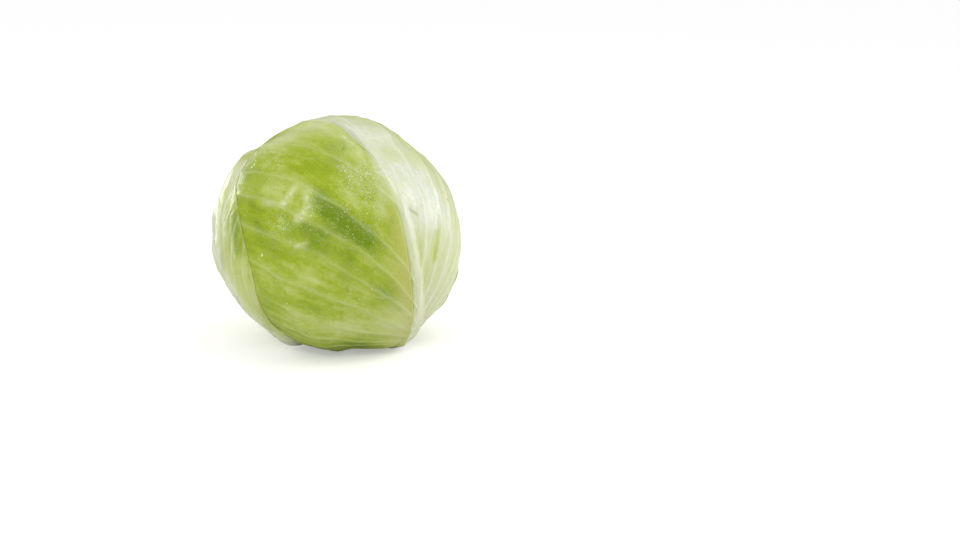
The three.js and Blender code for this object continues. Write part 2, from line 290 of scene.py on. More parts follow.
leafForm = {
    "blade": 0.8,
    "hem": 0.25,  # thickness at the very edge
    "thinning": 5,  # mm from the edge over which it gets there
    "thinnest": 0.8,  # what a hollow leaves of the thickness
    "gap": 1.05,
    "pressedTo": 0.4,  # height of the faces that the head lies on
    "tuck": 3,  # degrees past its edge to which a leaf lifts the next one fully
    "drape": 12,  # degrees more over which the next one comes down
    "cuts": 3,  # extra lines between two of the sheet's own on its outer face
    "columnGrowth": 1.15,
    "edgeStep": 0.7,  # how much a step at the edge counts beside one at the midrib
    "rest": (16, 3),  # mm from the edge over which the blade comes to rest on what lies below
    "restGap": 0.05,
    "mostPull": 7,
}
midrib = {
    "stalkHalf": 6.5,  # half widths in degrees: at the stalk, where the blade begins and at the tip
    "baseHalf": 8.5,
    "tipHalf": 1.6,
    "narrowing": 0.6,  # the less, the sooner it narrows, and so with lowering
    "tipRise": 0.3,
    "lowering": 0.55,
    "flanks": (0.8, 2),  # how hollow its sides are where the blade begins and further up
    "flankLength": 0.15,  # of its length, over which they change
    "clear": (0.1, 0.4),  # of its length, up to which the blade beside it doesn't count as an edge
    "room": 1.5,  # how much wider the leaves outside it bend over it
    "band": (0.75, 0.3),  # half of its pale width as a share of its own, and what is lost towards the tip
    "foldedBand": (0.9, 0.45),
}
vein = {
    "rise": 0.9,
    "fade": 0.8,  # what it loses of that towards the edge
    "foot": 0.06,  # of a row, over which it rises beside the midrib
    "crowding": 7.5,  # how close together the rows start low on the midrib
    "spacing": 0.06,  # the share of even spacing in that
    "bend": {"base": 0.5, "beyond": 0.35, "from": 0.4, "settled": 0.7, "climb": 1.5},
    "core": (2.2, 1.1),  # half widths beside the midrib and near the edge
    "line": 0.6,  # width of the pale line on it, as a share of its own
    "halo": (6, 2.6),  # of the paler green on both sides of it
    "widest": 16,  # past which none of it shows
    "onPallor": 0.8,  # how much wider it is on a pale side
    "paleBy": (0.55, 0.32),  # how pale the line and the halo are
    "paleLoss": 0.25,  # towards the edge
    "strength": (0.6, 1),
    "sway": (0.9, 13, 40),  # mm to a side, mm to a radian of its wave, radians from one vein to the next
    "tremor": (0.4, 5.3, 70),
    "straight": (4, 30),  # mm from the midrib over which the sway sets in
    "setsIn": (-1, 2),  # mm
    "diesOut": (0.4, 1.15),  # of its length
    "branches": (5, 8),  # least and most on a side vein
    "branchRise": 0.3,
    "branchWidth": (0.35, 0.7),  # of the side vein's, for the weakest and the strongest
    "firstBranch": 14,  # mm from the midrib
    "branchSpan": 100,  # mm of the side vein that carries them
    "branchLoose": 0.8,  # how far each strays to the place of the next
    "lean": (0.35, 0.75),  # how steeply a branch leaves its vein
    "reach": (14, 34),  # mm over which it turns to run beside it
    "length": (22, 60),
    "weaker": (0.35, 0.7),
    "twigs": 2,  # to each branch
    "twigFrom": (0.2, 0.7),  # of the branch's length
    "twigLean": (0.15, 0.5),
    "twigReach": 15,
    "twigLength": 24,
    "twigWeaker": 0.3,
}
# the free edge: its share of a row, its waves, how little they differ, and where along it the leaf lies flat
hem = {"depth": 0.16, "waves": 9, "steady": 0.6, "flatFrom": 0.35, "flatBy": 0.6}
pucker = {
    "lumps": ((17, 0.5), (7, 0.18)),  # mm across and mm high
    "fromRib": (0.02, 0.2),  # of a row
    "fromEdge": 12,  # mm
}
leafSkin = {
    "tone": 0.6,  # depth of the green on plain skin
    "toneLost": (0.55, 0.45),  # on a pale side and at the blade's base
    "edgeTone": 0.12,
    "edgeFrom": (0.6, 0.95),  # of a row
    "pallorFrom": 6,  # mm from the midrib
    "base": 14,  # degrees round the blade's base
    "rim": (2.2, 0.6),  # mm from the edge
    # a painted highlight along the leaf's edge, this pale
    "rimHighlight": 0.15,
    "pallorVeins": 0.3,
    "shadedVeins": 0.9,  # what deep shade takes off the veins
    "deepest": 0.8,
    "rib": 0.85,
    "cream": (1.2, 1.1, 0.3),  # on a pale side, on the midrib and at the base
    "baseOlive": 0.5,
    # the most that wax bloom and painted highlight may whiten the skin
    "mostBloomAndHighlight": 0.9,
    "combLength": 170,  # mm that the combs take from the base of the blade to its tip
}


def prepareLeaf(leaf):
    # the leaf's own flat frame in degrees: x across it, y along it to the tip, from the blade's middle
    azimuth, polar = leaf["middle"]
    middle = direction(azimuth, polar)
    up = direction(azimuth, polar + 90)
    right = np.cross(up, middle)
    lean = math.radians(leaf["lean"])
    leaf["axes"] = (
        middle,
        right * math.cos(lean) - up * math.sin(lean),
        up * math.cos(lean) + right * math.sin(lean),
    )
    tipReach = flatten(leaf, direction(*leaf["tip"]))[2]
    rib = [flatten(leaf, direction(*place)) for place in leaf["rib"]]
    leaf["ribLine"] = [(y, x) for x, y, *_ in rib] + [(tipReach, 0)]
    leaf["base"], leaf["start"], leaf["end"] = rib[0][1], rib[1][1], tipReach
    edge = [(0, tipReach)]
    for side, places in ((1, leaf["right"]), (-1, leaf["left"])):
        x = rib[1][0] + side * petioleHalf(leaf)[1]
        edge.append((math.degrees(math.atan2(x, leaf["start"])), math.hypot(x, leaf["start"])))
        for place in places:
            _, _, spread, turn = flatten(leaf, direction(*place))
            edge.append((turn, spread))
    leaf["edge"] = sorted(edge)


def petioleHalf(leaf):
    # half of a petiole's width in degrees, at the stalk and where the blade begins
    return leaf.get("petiole", (midrib["stalkHalf"], midrib["baseHalf"]))


def flatten(leaf, d):
    middle, right, up = leaf["axes"]
    spread = np.degrees(np.arccos(np.clip(d @ middle, -1, 1)))
    angle = np.arctan2(d @ right, d @ up)
    return spread * np.sin(angle), spread * np.cos(angle), spread, np.degrees(angle)


def raised(leaf, x, y):
    middle, right, up = leaf["axes"]
    spread = np.maximum(np.hypot(x, y), 1e-9)
    s = (np.sin(np.radians(spread)) / spread)[..., None]
    return np.cos(np.radians(spread))[..., None] * middle + s * x[..., None] * right + s * y[..., None] * up


def stemHalf(leaf, share):
    return lerp(petioleHalf(leaf)[1], midrib["tipHalf"], np.clip(share, 0, 1) ** midrib["narrowing"])


def midribRise(leaf, x, y, widened=1):
    share = np.clip((y - leaf["start"]) / (leaf["end"] - leaf["start"]), 0, 1)
    off = (x - through(leaf["ribLine"], y)) / (stemHalf(leaf, share) * widened)
    crest = lerp(leaf["stem"], midrib["tipRise"], share ** midrib["lowering"])
    first, further = midrib["flanks"]
    flank = further if widened > 1 else lerp(first, further, smooth(share, 0, midrib["flankLength"]))
    return crest * np.maximum(1 - off * off, 0) ** flank


def veinRise(share):
    return vein["rise"] * (1 - vein["fade"] * np.clip(share, 0, 1) ** 3)


def cover(leaf, d):
    # how fully a leaf lies over a direction: 1 as far as its edge, then falling to 0
    x, y, spread, turn = flatten(leaf, d)
    pastBlade = spread - through(leaf["edge"], turn)
    beside = np.abs(x - through(leaf["ribLine"], y)) - petioleHalf(leaf)[1]
    pastStem = np.maximum(np.maximum(beside, y - leaf["start"]), leaf["base"] - y)
    return 1 - smooth(np.minimum(pastBlade, pastStem) - leafForm["tuck"], 0, leafForm["drape"])


def bulk(leaf, d):
    # the room a leaf takes up over a direction, for the leaves outside it
    x, y, spread, turn = flatten(leaf, d)
    share = spread / through(leaf["edge"], turn)
    thickness = leafForm["blade"] + leafForm["gap"] + veinRise(share)
    return cover(leaf, d) * (thickness + midribRise(leaf, x, y, midrib["room"]))


def ribHeight(leaf, along):
    return lerp(leaf["start"], leaf["end"], lerp(along ** vein["crowding"], along, vein["spacing"]))


def edgePlace(leaf, side, along):
    first = np.where(side > 0, leaf["edge"][-1][0], leaf["edge"][0][0])
    turn = first * (1 - along)
    reach = through(leaf["edge"], turn)
    return reach * np.sin(np.radians(turn)), reach * np.cos(np.radians(turn))


def bladePlace(leaf, side, along, across):
    # rows of a blade run from the midrib out to its edge as the side veins do
    ribY = ribHeight(leaf, along)
    ribX = through(leaf["ribLine"], ribY)
    edgeX, edgeY = edgePlace(leaf, side, along)
    bend = vein["bend"]
    share = lerp(bend["base"], bend["beyond"], smooth(along, bend["from"], bend["settled"]))
    viaX = lerp(ribX, edgeX, share)
    viaY = lerp(ribY, edgeY, 1 - share * bend["climb"])
    a, b, c = (1 - across) ** 2, 2 * across * (1 - across), across ** 2
    return a * ribX + b * viaX + c * edgeX, a * ribY + b * viaY + c * edgeY


def stemPlace(leaf, side, along, across):
    y = lerp(leaf["base"], leaf["start"], along)
    half = lerp(*petioleHalf(leaf), along)
    return through(leaf["ribLine"], y) + side * across * half, y


def evenRows(leaf, share):
    # spaces the rows of a blade evenly, by the longer of their steps at the midrib and at the edge
    samples = 400
    along = np.linspace(0, 1, samples)
    steps = np.abs(np.diff(ribHeight(leaf, along)))
    for side in (1, -1):
        x, y = edgePlace(leaf, side, along)
        steps = np.maximum(steps, np.hypot(np.diff(x), np.diff(y)) * leafForm["edgeStep"])
    travelled = np.concatenate([[0], np.cumsum(steps)])
    return np.interp(share, travelled / travelled[-1], along)


def meshFrom(bm, name):
    mesh = bpy.data.meshes.new(name)
    bm.to_mesh(mesh)
    bm.free()
    return mesh


def sheetMesh(leaf):
    # a flat slab one unit thick: its outer face gets extra lines, its inner face stays coarse
    columns, rows = sum(leaf["columns"]), sum(leaf["rows"])
    bm = bmesh.new()
    bmesh.ops.create_grid(bm, x_segments=columns, y_segments=rows, size=1)
    bmesh.ops.solidify(bm, geom=bm.faces[:], thickness=1)
    bmesh.ops.recalc_face_normals(bm, faces=bm.faces[:])
    edges = [edge for edge in bm.edges if any(face.normal.z > 0.5 for face in edge.link_faces)]
    bmesh.ops.subdivide_edges(bm, edges=edges, cuts=leafForm["cuts"], use_grid_fill=True)
    return meshFrom(bm, leaf["name"] + "_fine")


def coordinates(mesh):
    values = np.empty(len(mesh.vertices) * 3)
    mesh.vertices.foreach_get("co", values)
    return values.reshape(-1, 3)


def place(mesh, millimetres):
    mesh.vertices.foreach_set("co", (millimetres * milli).astype(np.float32).ravel())
    mesh.update()


def keep(mesh, name, values):
    kind = "FLOAT" if values.ndim == 1 else "FLOAT_VECTOR"
    layer = mesh.attributes.new(name, kind, "POINT")
    layer.data.foreach_set("value" if values.ndim == 1 else "vector", values.astype(np.float32).ravel())


def pattern(points, scale, seed, octaves=3):
    # soft noise from about -1 to 1 over points in mm, its lumps scale mm across, elsewhere for each seed
    shift = Vector((seed * 7.3, seed * 3.1, seed * 5.7))
    places = points / scale
    return np.array([noise.fractal(Vector(at) + shift, 1.0, 2.0, octaves) for at in places])


def stroke(d, at, to, spread):
    # 1 along the line between two places on the head, falling off over spread degrees
    a, b = direction(*at), direction(*to)
    run = b - a
    share = np.clip((d - a) @ run / max(run @ run, 1e-9), 0, 1)
    away = np.linalg.norm(d - a - share[:, None] * run, axis=1)
    return np.exp(-(np.degrees(away) / spread) ** 2)


def strokes(leaf, kind, d):
    total = np.zeros(len(d))
    for start, end, spread, by in leaf.get(kind, ()):
        total += by * stroke(d, start, end, spread)
    return total


def veinLines(leaf):
    # the side veins, their branches and twigs: side, mark on the midrib, how far out each starts and how far
    # off its vein, how steeply it leaves, over how many mm it turns, how long it is and how strong
    pastEdge = 400
    random = np.random.default_rng(leaf["seed"])
    marks = (0, *leaf["veins"], 1)
    lines = []
    for side in (1, -1):
        for k in range(1, len(marks) - 1):
            strength = random.uniform(*vein["strength"])
            lines.append((side, marks[k], 0, 0, 0, 1, pastEdge, strength))
            fewest, most = vein["branches"]
            count = random.integers(fewest, most + 1)
            for j in range(count):
                way = 1 if (j + k) % 2 else -1
                strayed = j + random.uniform(0, vein["branchLoose"])
                start = vein["firstBranch"] + vein["branchSpan"] * strayed / count
                lean = way * random.uniform(*vein["lean"])
                reach = random.uniform(*vein["reach"])
                long = random.uniform(*vein["length"])
                weaker = strength * random.uniform(*vein["weaker"])
                lines.append((side, marks[k], start, 0, lean, reach, long, weaker))
                for _ in range(vein["twigs"]):
                    past = random.uniform(*vein["twigFrom"]) * long
                    off = lean * reach * (1 - math.exp(-past / reach))
                    twigLean = -way * random.uniform(*vein["twigLean"])
                    lines.append((side, marks[k], start + past, off, twigLean, vein["twigReach"],
                                  vein["twigLength"], strength * vein["twigWeaker"]))
    return lines


def veinField(leaf, grid):
    # how high the veins stand and how pale they make the blade
    shape, pale = np.zeros(len(grid.along)), np.zeros(len(grid.along))
    crest = veinRise(grid.across) * smooth(grid.across, 0, vein["foot"])
    widths = [1 + vein["onPallor"] * pallor for pallor in leaf["pallor"]]
    sideWidth = np.where(grid.side > 0, widths[1], widths[0])
    sway, swayPace, swayPhase = vein["sway"]
    tremor, tremorPace, tremorPhase = vein["tremor"]
    lineBy, haloBy = vein["paleBy"]
    fading, gone = vein["diesOut"]
    for lineSide, mark, start, off, lean, reach, long, strength in veinLines(leaf):
        main = lean == 0
        past = grid.run - start
        level = off + lean * reach * (1 - np.exp(-np.maximum(past, 0) / reach))
        wander = sway * np.sin(grid.run / swayPace + mark * swayPhase + lineSide)
        wander += tremor * np.sin(grid.run / tremorPace + mark * tremorPhase)
        away = np.abs((grid.along - mark) * grid.pace - level - wander * smooth(grid.run, *vein["straight"]))
        near = (grid.side == lineSide) & (away < vein["widest"])
        near &= (past > vein["setsIn"][0]) & (past < long * gone)
        if not near.any():
            continue
        out = grid.across[near]
        slim = 1 if main else lerp(*vein["branchWidth"], strength)
        life = smooth(past[near], *vein["setsIn"]) * (1 - smooth(past[near], long * fading, long * gone))
        core = lerp(*vein["core"], out) * slim * sideWidth[near]
        halo = lerp(*vein["halo"], out) * slim * sideWidth[near]
        ridge = crest[near] if main else vein["branchRise"] * strength
        shape[near] = np.maximum(shape[near], ridge * life * np.exp(-(away[near] / core) ** 2))
        line = np.exp(-(away[near] / (core * vein["line"])) ** 2)
        soft = np.exp(-(away[near] / halo) ** 2)
        paler = strength * life * (lineBy * line + haloBy * soft) * (1 - vein["paleLoss"] * out)
        pale[near] = np.maximum(pale[near], paler)
    return np.where(grid.onStem, 0, shape), np.where(grid.onStem, 0, pale)


def strip(past, low, high, holds, fades):
    # sets in from low to high, holds so far and then falls off
    return smooth(past, low, high) * np.exp(-(np.maximum(past - holds, 0) / fades) ** 2)


def midribField(leaf, x, y):
    # the fold of the blade that stands over the midrib's side, with how olive and how pale the skin is there
    share = np.clip((y - leaf["start"]) / (leaf["end"] - leaf["start"]), 0, 1)
    off = (x - through(leaf["ribLine"], y)) / stemHalf(leaf, share)
    fold = leaf.get("fold")
    half, loss = midrib["foldedBand" if fold else "band"]
    band = np.exp(-(off / half) ** 2)
    if not fold:
        return np.zeros(len(x)), np.zeros(len(x)), band * (1 - loss * share)
    past = through(leaf["ribLine"], y) - x - lerp(*fold["edge"], share)
    held = (1 - smooth(share, *fold["fades"])) * smooth(y - leaf["start"], *fold["starts"])
    crest = smooth(past, 0, fold["steep"]) * np.exp(-np.maximum(past - fold["steep"], 0) / fold["spread"])
    band = lerp(band, strip(-past, *fold["band"]), held)
    return fold["rise"] * crest * held, strip(past, *fold["olive"]) * held, band * (1 - loss * share)


def layOn(tree, d, radius, pull):
    # brings the edge of a leaf down onto what lies below it, found by rays from outside to the head's centre
    outside = headForm["outside"]
    centre = Vector(headCentre * milli)
    for i in np.flatnonzero(pull > 0.01):
        towards = Vector(d[i])
        hit, _, _, distance = tree.ray_cast(centre + towards * outside * milli, -towards)
        if hit is not None:
            rest = outside - distance / milli + leafForm["restGap"]
            if 0 < radius[i] - rest < leafForm["mostPull"]:
                radius[i] = lerp(radius[i], rest, pull[i])
    return radius


def rowLength(leaf, side, along, across):
    # millimetres from the midrib to each place, along its row
    steps = 10
    run = np.zeros(len(along))
    last = raised(leaf, *bladePlace(leaf, side, along, across * 0))
    for k in range(1, steps + 1):
        here = raised(leaf, *bladePlace(leaf, side, along, across * k / steps))
        run += np.linalg.norm(here - last, axis=1)
        last = here
    return run * headForm["halfWidth"]


def leafGrid(leaf, mesh):
    # where every vertex of the sheet lies: along and across in shares, x and y in degrees, d as a direction,
    # and in mm its run from the midrib, the pace of the rows to a unit of along and the way to the edge
    flat = coordinates(mesh)
    leftColumns, rightColumns = leaf["columns"]
    column = (flat[:, 0] + 1) / 2 * (leftColumns + rightColumns)
    side = np.where(column >= leftColumns, 1, -1)
    across = np.where(side > 0, (column - leftColumns) / rightColumns, (leftColumns - column) / leftColumns)
    across = np.clip(across, 0, 1) ** leafForm["columnGrowth"]
    stemRows, bladeRows = leaf["rows"]
    row = (flat[:, 1] + 1) / 2 * (stemRows + bladeRows)
    onStem = row < stemRows - 1e-4
    along = np.where(onStem, row / stemRows, evenRows(leaf, np.clip((row - stemRows) / bladeRows, 0, 1)))
    onBlade = np.where(onStem, 0, along)

    bladeX, bladeY = bladePlace(leaf, side, onBlade, across)
    stemX, stemY = stemPlace(leaf, side, along, across)
    x, y = np.where(onStem, stemX, bladeX), np.where(onStem, stemY, bladeY)
    d = raised(leaf, x, y)
    nudge = 0.004
    behind, ahead = np.clip(along - nudge, 0, 1), np.clip(along + nudge, 0, 1)
    last, here = (raised(leaf, *bladePlace(leaf, side, at, across)) for at in (behind, ahead))
    pace = np.linalg.norm(here - last, axis=1) * headForm["halfWidth"] / (ahead - behind)

    _, _, spread, turn = flatten(leaf, d)
    toEdge = (through(leaf["edge"], turn) - spread) * degree
    stemEdge = (1 - across) * lerp(*petioleHalf(leaf), along) * degree
    share = (y - leaf["start"]) / (leaf["end"] - leaf["start"])
    besideRib = petioleHalf(leaf)[1] - np.abs(x - through(leaf["ribLine"], y))
    besideRib = besideRib * degree * (1 - smooth(share, *midrib["clear"]))
    return SimpleNamespace(
        side=side, across=across, along=along, onBlade=onBlade, onStem=onStem, isOuter=flat[:, 2] > -0.5,
        x=x, y=y, d=d, run=rowLength(leaf, side, onBlade, across), pace=pace,
        toEdge=np.where(onStem, stemEdge, np.maximum(toEdge, besideRib)),
    )


def innerFace(leaf, grid, inner, outer, tree):
    # how far from the head's centre the leaf's inner face lies, its free hem lifted and its edge at rest
    free = np.ones(len(grid.d))
    for other in outer:
        free *= 1 - cover(other, grid.d)
    low = 1 - smooth(grid.onBlade, hem["flatFrom"], hem["flatBy"])
    lift = np.where(grid.onStem, 0, leaf["curl"] * low * smooth(grid.across, 1 - hem["depth"], 1))
    wave = hem["steady"] + (1 - hem["steady"]) * np.sin(2 * np.pi * hem["waves"] * grid.along + grid.side)
    radius = heartRadius(grid.d) + leafForm["gap"] + free * lift * wave
    for other in inner:
        radius = radius + bulk(other, grid.d)
    hug = np.maximum(1 - low, leaf.get("hug", 0))
    return layOn(tree, grid.d, radius, hug * smooth(-grid.toEdge, *(-mm for mm in leafForm["rest"])))


def keepSkin(leaf, mesh, grid, pale, ribPale, olive):
    # what the skin's material reads
    d, x, y = grid.d, grid.x, grid.y
    pallor = np.where(grid.side > 0, leaf["pallor"][1], leaf["pallor"][0])
    pallor = pallor * smooth(grid.run, 0, leafSkin["pallorFrom"])
    atBase = np.exp(-np.hypot(x - leaf["ribLine"][1][1], y - leaf["start"]) / leafSkin["base"])
    rim = smooth(-grid.toEdge, *(-mm for mm in leafSkin["rim"]))
    shade = strokes(leaf, "shades", d)
    byPallor, byBase = leafSkin["toneLost"]
    tone = leafSkin["tone"] - byPallor * pallor - byBase * atBase
    tone = tone + leafSkin["edgeTone"] * smooth(grid.across, *leafSkin["edgeFrom"]) + shade
    veins = pale * (1 + leafSkin["pallorVeins"] * pallor)
    veins = veins * (1 - leafSkin["shadedVeins"] * np.clip(shade, 0, leafSkin["deepest"]))
    onPallor, onRib, onBase = leafSkin["cream"]
    level = np.zeros(len(x))
    # pale veins, and a painted highlight along the edge
    keep(mesh, "pale", np.clip(veins + leafSkin["rimHighlight"] * rim, 0, 1))
    keep(mesh, "rib", np.where(grid.onStem, 1, ribPale) * leafSkin["rib"])
    keep(mesh, "cream", np.clip(np.maximum(pallor * onPallor, ribPale * onRib) + onBase * atBase, 0, 1))
    keep(mesh, "tone", tone)
    keep(mesh, "olive", np.clip(olive + leafSkin["baseOlive"] * atBase, 0, 1))
    # wax bloom and painted highlight from the strokes, which whiten the skin
    keep(mesh, "bloom", np.clip(strokes(leaf, "bloomsAndHighlights", d), 0, leafSkin["mostBloomAndHighlight"]))
    keep(mesh, "bruise", strokes(leaf, "bruises", d))
    keep(mesh, "comb", np.stack([grid.side * grid.run, grid.along * leafSkin["combLength"], level], axis=1))
    keep(mesh, "net", np.stack([x, y, level], axis=1) * degree)


def buildLeaf(leaf, inner, outer, tree):
    mesh = sheetMesh(leaf)
    grid = leafGrid(leaf, mesh)
    d = grid.d
    radius = innerFace(leaf, grid, inner, outer, tree)
    shape, pale = veinField(leaf, grid)
    fold, olive, ribPale = midribField(leaf, grid.x, grid.y)
    surface = headCentre + d * radius[:, None]
    blade = smooth(grid.across, *pucker["fromRib"]) * smooth(grid.toEdge, 0, pucker["fromEdge"])
    broad, fine = (pattern(surface, wide, leaf["seed"] + 5 * k, 2) * high
                   for k, (wide, high) in enumerate(pucker["lumps"]))
    thin = lerp(leafForm["blade"], leafForm["hem"], smooth(-grid.toEdge, -leafForm["thinning"], 0))
    thickness = thin + midribRise(leaf, grid.x, grid.y) + shape + fold
    thickness = thickness + (broad + fine) * np.where(grid.onStem, 0, blade) + strokes(leaf, "swellings", d)
    top = radius + np.maximum(thickness, thin * leafForm["thinnest"])
    pressed = (leafForm["pressedTo"] - headForm["centreHeight"]) / np.minimum(d[:, 2], -1e-3)
    top = np.where(d[:, 2] < -1e-3, np.minimum(top, pressed), top)
    place(mesh, headCentre + d * np.where(grid.isOuter, top, radius)[:, None])
    keepSkin(leaf, mesh, grid, pale, ribPale, olive)

    bm = bmesh.new()
    bm.from_mesh(mesh)
    bmesh.ops.remove_doubles(bm, verts=bm.verts[:], dist=1e-6)
    bm.to_mesh(mesh)
    bm.free()
    mesh.shade_smooth()
    return newPiece(leaf["name"] + "_fine", mesh)


def newPiece(name, data):
    piece = bpy.data.objects.new(name, data)
    bpy.context.scene.collection.objects.link(piece)
    return piece


def linear(hexColour):
    # an sRGB hex value as the linear colour that a socket takes
    channels = [int(hexColour[i:i + 2], 16) / 255 for i in (1, 3, 5)]
    return (*[c / 12.92 if c <= 0.04045 else ((c + 0.055) / 1.055) ** 2.4 for c in channels], 1)


def addNode(owner, kind, settings=None, links=None):
    # settings are the node's own fields and unlinked sockets, links name the sockets that feed its sockets
    node = owner.node_tree.nodes.new("ShaderNode" + kind)
    for name, value in (settings or {}).items():
        if isinstance(name, str) and hasattr(node, name):
            setattr(node, name, value)
        else:
            node.inputs[name].default_value = value
    for name, source in (links or {}).items():
        owner.node_tree.links.new(source, node.inputs[name])
    return node


def newMaterial(name):
    material = bpy.data.materials.new(name)
    material.use_nodes = True
    material.node_tree.nodes.clear()
    return material


waxyLeaf = {
    "greens": (("#d0d6a4", 0), ("#c0cb6c", 0.32), ("#a0b41c", 0.6), ("#749000", 1)),  # by depth of tone
    # olive for the strip beside the midrib's fold and the blade's base, made lighter to make up for the
    # weaker light low on the head: partly painted light
    "olive": "#c0c264",
    "rib": "#cdd597",
    "cream": "#e9ebd6",
    "greenBloomAndHighlight": "#dbe0ac",  # wax bloom and painted highlight on green skin
    "bloom": "#e3e7da",  # wax bloom and painted highlight on pale skin
    "bruise": "#8a7f45",
    # mm across, then detail, roughness and distortion
    "noises": {"clouds": (15, 4, 0.5, 0.6), "mottle": (4, 6, 0.65, 0), "wrinkles": (1.4, 3, 0.5, 0)},
    # the layer it follows, mm along x and y, its place in the noise, then the same three
    "grains": {
        "broadComb": ("comb", 34, 6, 0, 4, 0.6, 0.4),
        "fineComb": ("comb", 13, 2.2, 9, 4, 0.6, 0.4),
        "fibres": ("net", 1.4, 40, 0, 3, 0.5, 0),
    },
    "cell": 6,  # mm between the finest veins
    "warp": 3,  # mm by which they stray
    # the pattern it reads, from low and high in it to what it gives there
    "spans": {
        "thread": ("net", 0, 0.16, 1, 0),
        "broken": ("fineComb", 0.35, 0.65, 0.45, 1.2),
        "cloudy": ("clouds", 0.35, 0.65, 0.55, 1.2),
        "stripes": ("fibres", 0.3, 0.6, 0.7, 1),
        "streaks": ("fineComb", 0.35, 0.6, 0.4, 1.1),
        "ragged": ("mottle", 0.38, 0.58, 0.55, 1.2),
        "roughness": ("clouds", 0.3, 0.7, 0.32, 0.5),
    },
    "toneShift": -1.105,
    "toneBy": {"clouds": 0.5, "broadComb": 0.6, "fineComb": 0.45, "mottle": 0.35, "wrinkles": 0.25},
    "faint": 0.06,  # how pale the finest veins are
    "reliefBy": {"wrinkles": 0.5, "thread": 0.25},
    "relief": {"Strength": 0.4, "Distance": 0.0006},
    "skin": {
        "Subsurface Weight": 0.15,
        "Subsurface Scale": 0.002,
        "Subsurface Radius": (1, 0.9, 0.3),
        "Specular IOR Level": 0.11,
        "Coat Weight": 0.42,
        "Coat Roughness": 0.17,
    },
}


def leafPatterns(add, layers):
    # the skin's noises, the grains that follow its rows, the finest veins and what is read off all of these
    coords = add("TexCoord").outputs["Object"]
    noiseFields = ("Detail", "Roughness", "Distortion")
    patterns = {}
    for name, (size, *character) in waxyLeaf["noises"].items():
        settings = {"Scale": 1000 / size, **dict(zip(noiseFields, character))}
        patterns[name] = add("TexNoise", settings, {"Vector": coords}).outputs["Fac"]
    for name, (layer, alongX, alongY, shift, *character) in waxyLeaf["grains"].items():
        settings = {"Scale": (1 / alongX, 1 / alongY, 1), "Location": (0, 0, shift)}
        stretched = add("Mapping", settings, {"Vector": layers[layer]}).outputs["Vector"]
        settings = {"Scale": 1, **dict(zip(noiseFields, character))}
        patterns[name] = add("TexNoise", settings, {"Vector": stretched}).outputs["Fac"]

    stray = add("TexNoise", {"Scale": 1000 / waxyLeaf["cell"], "Detail": 2}, {"Vector": coords})
    warp = waxyLeaf["warp"]
    bent = add("VectorMath", {"operation": "MULTIPLY_ADD", 1: (warp, warp, 0)},
               {0: stray.outputs["Color"], 2: layers["net"]})
    net = add("TexVoronoi",
              {"feature": "DISTANCE_TO_EDGE", "voronoi_dimensions": "2D", "Scale": 1 / waxyLeaf["cell"]},
              {"Vector": bent.outputs["Vector"]})
    patterns["net"] = net.outputs["Distance"]
    for name, (source, *values) in waxyLeaf["spans"].items():
        settings = dict(zip(("From Min", "From Max", "To Min", "To Max"), values))
        patterns[name] = add("MapRange", settings, {"Value": patterns[source]}).outputs["Result"]
    return patterns


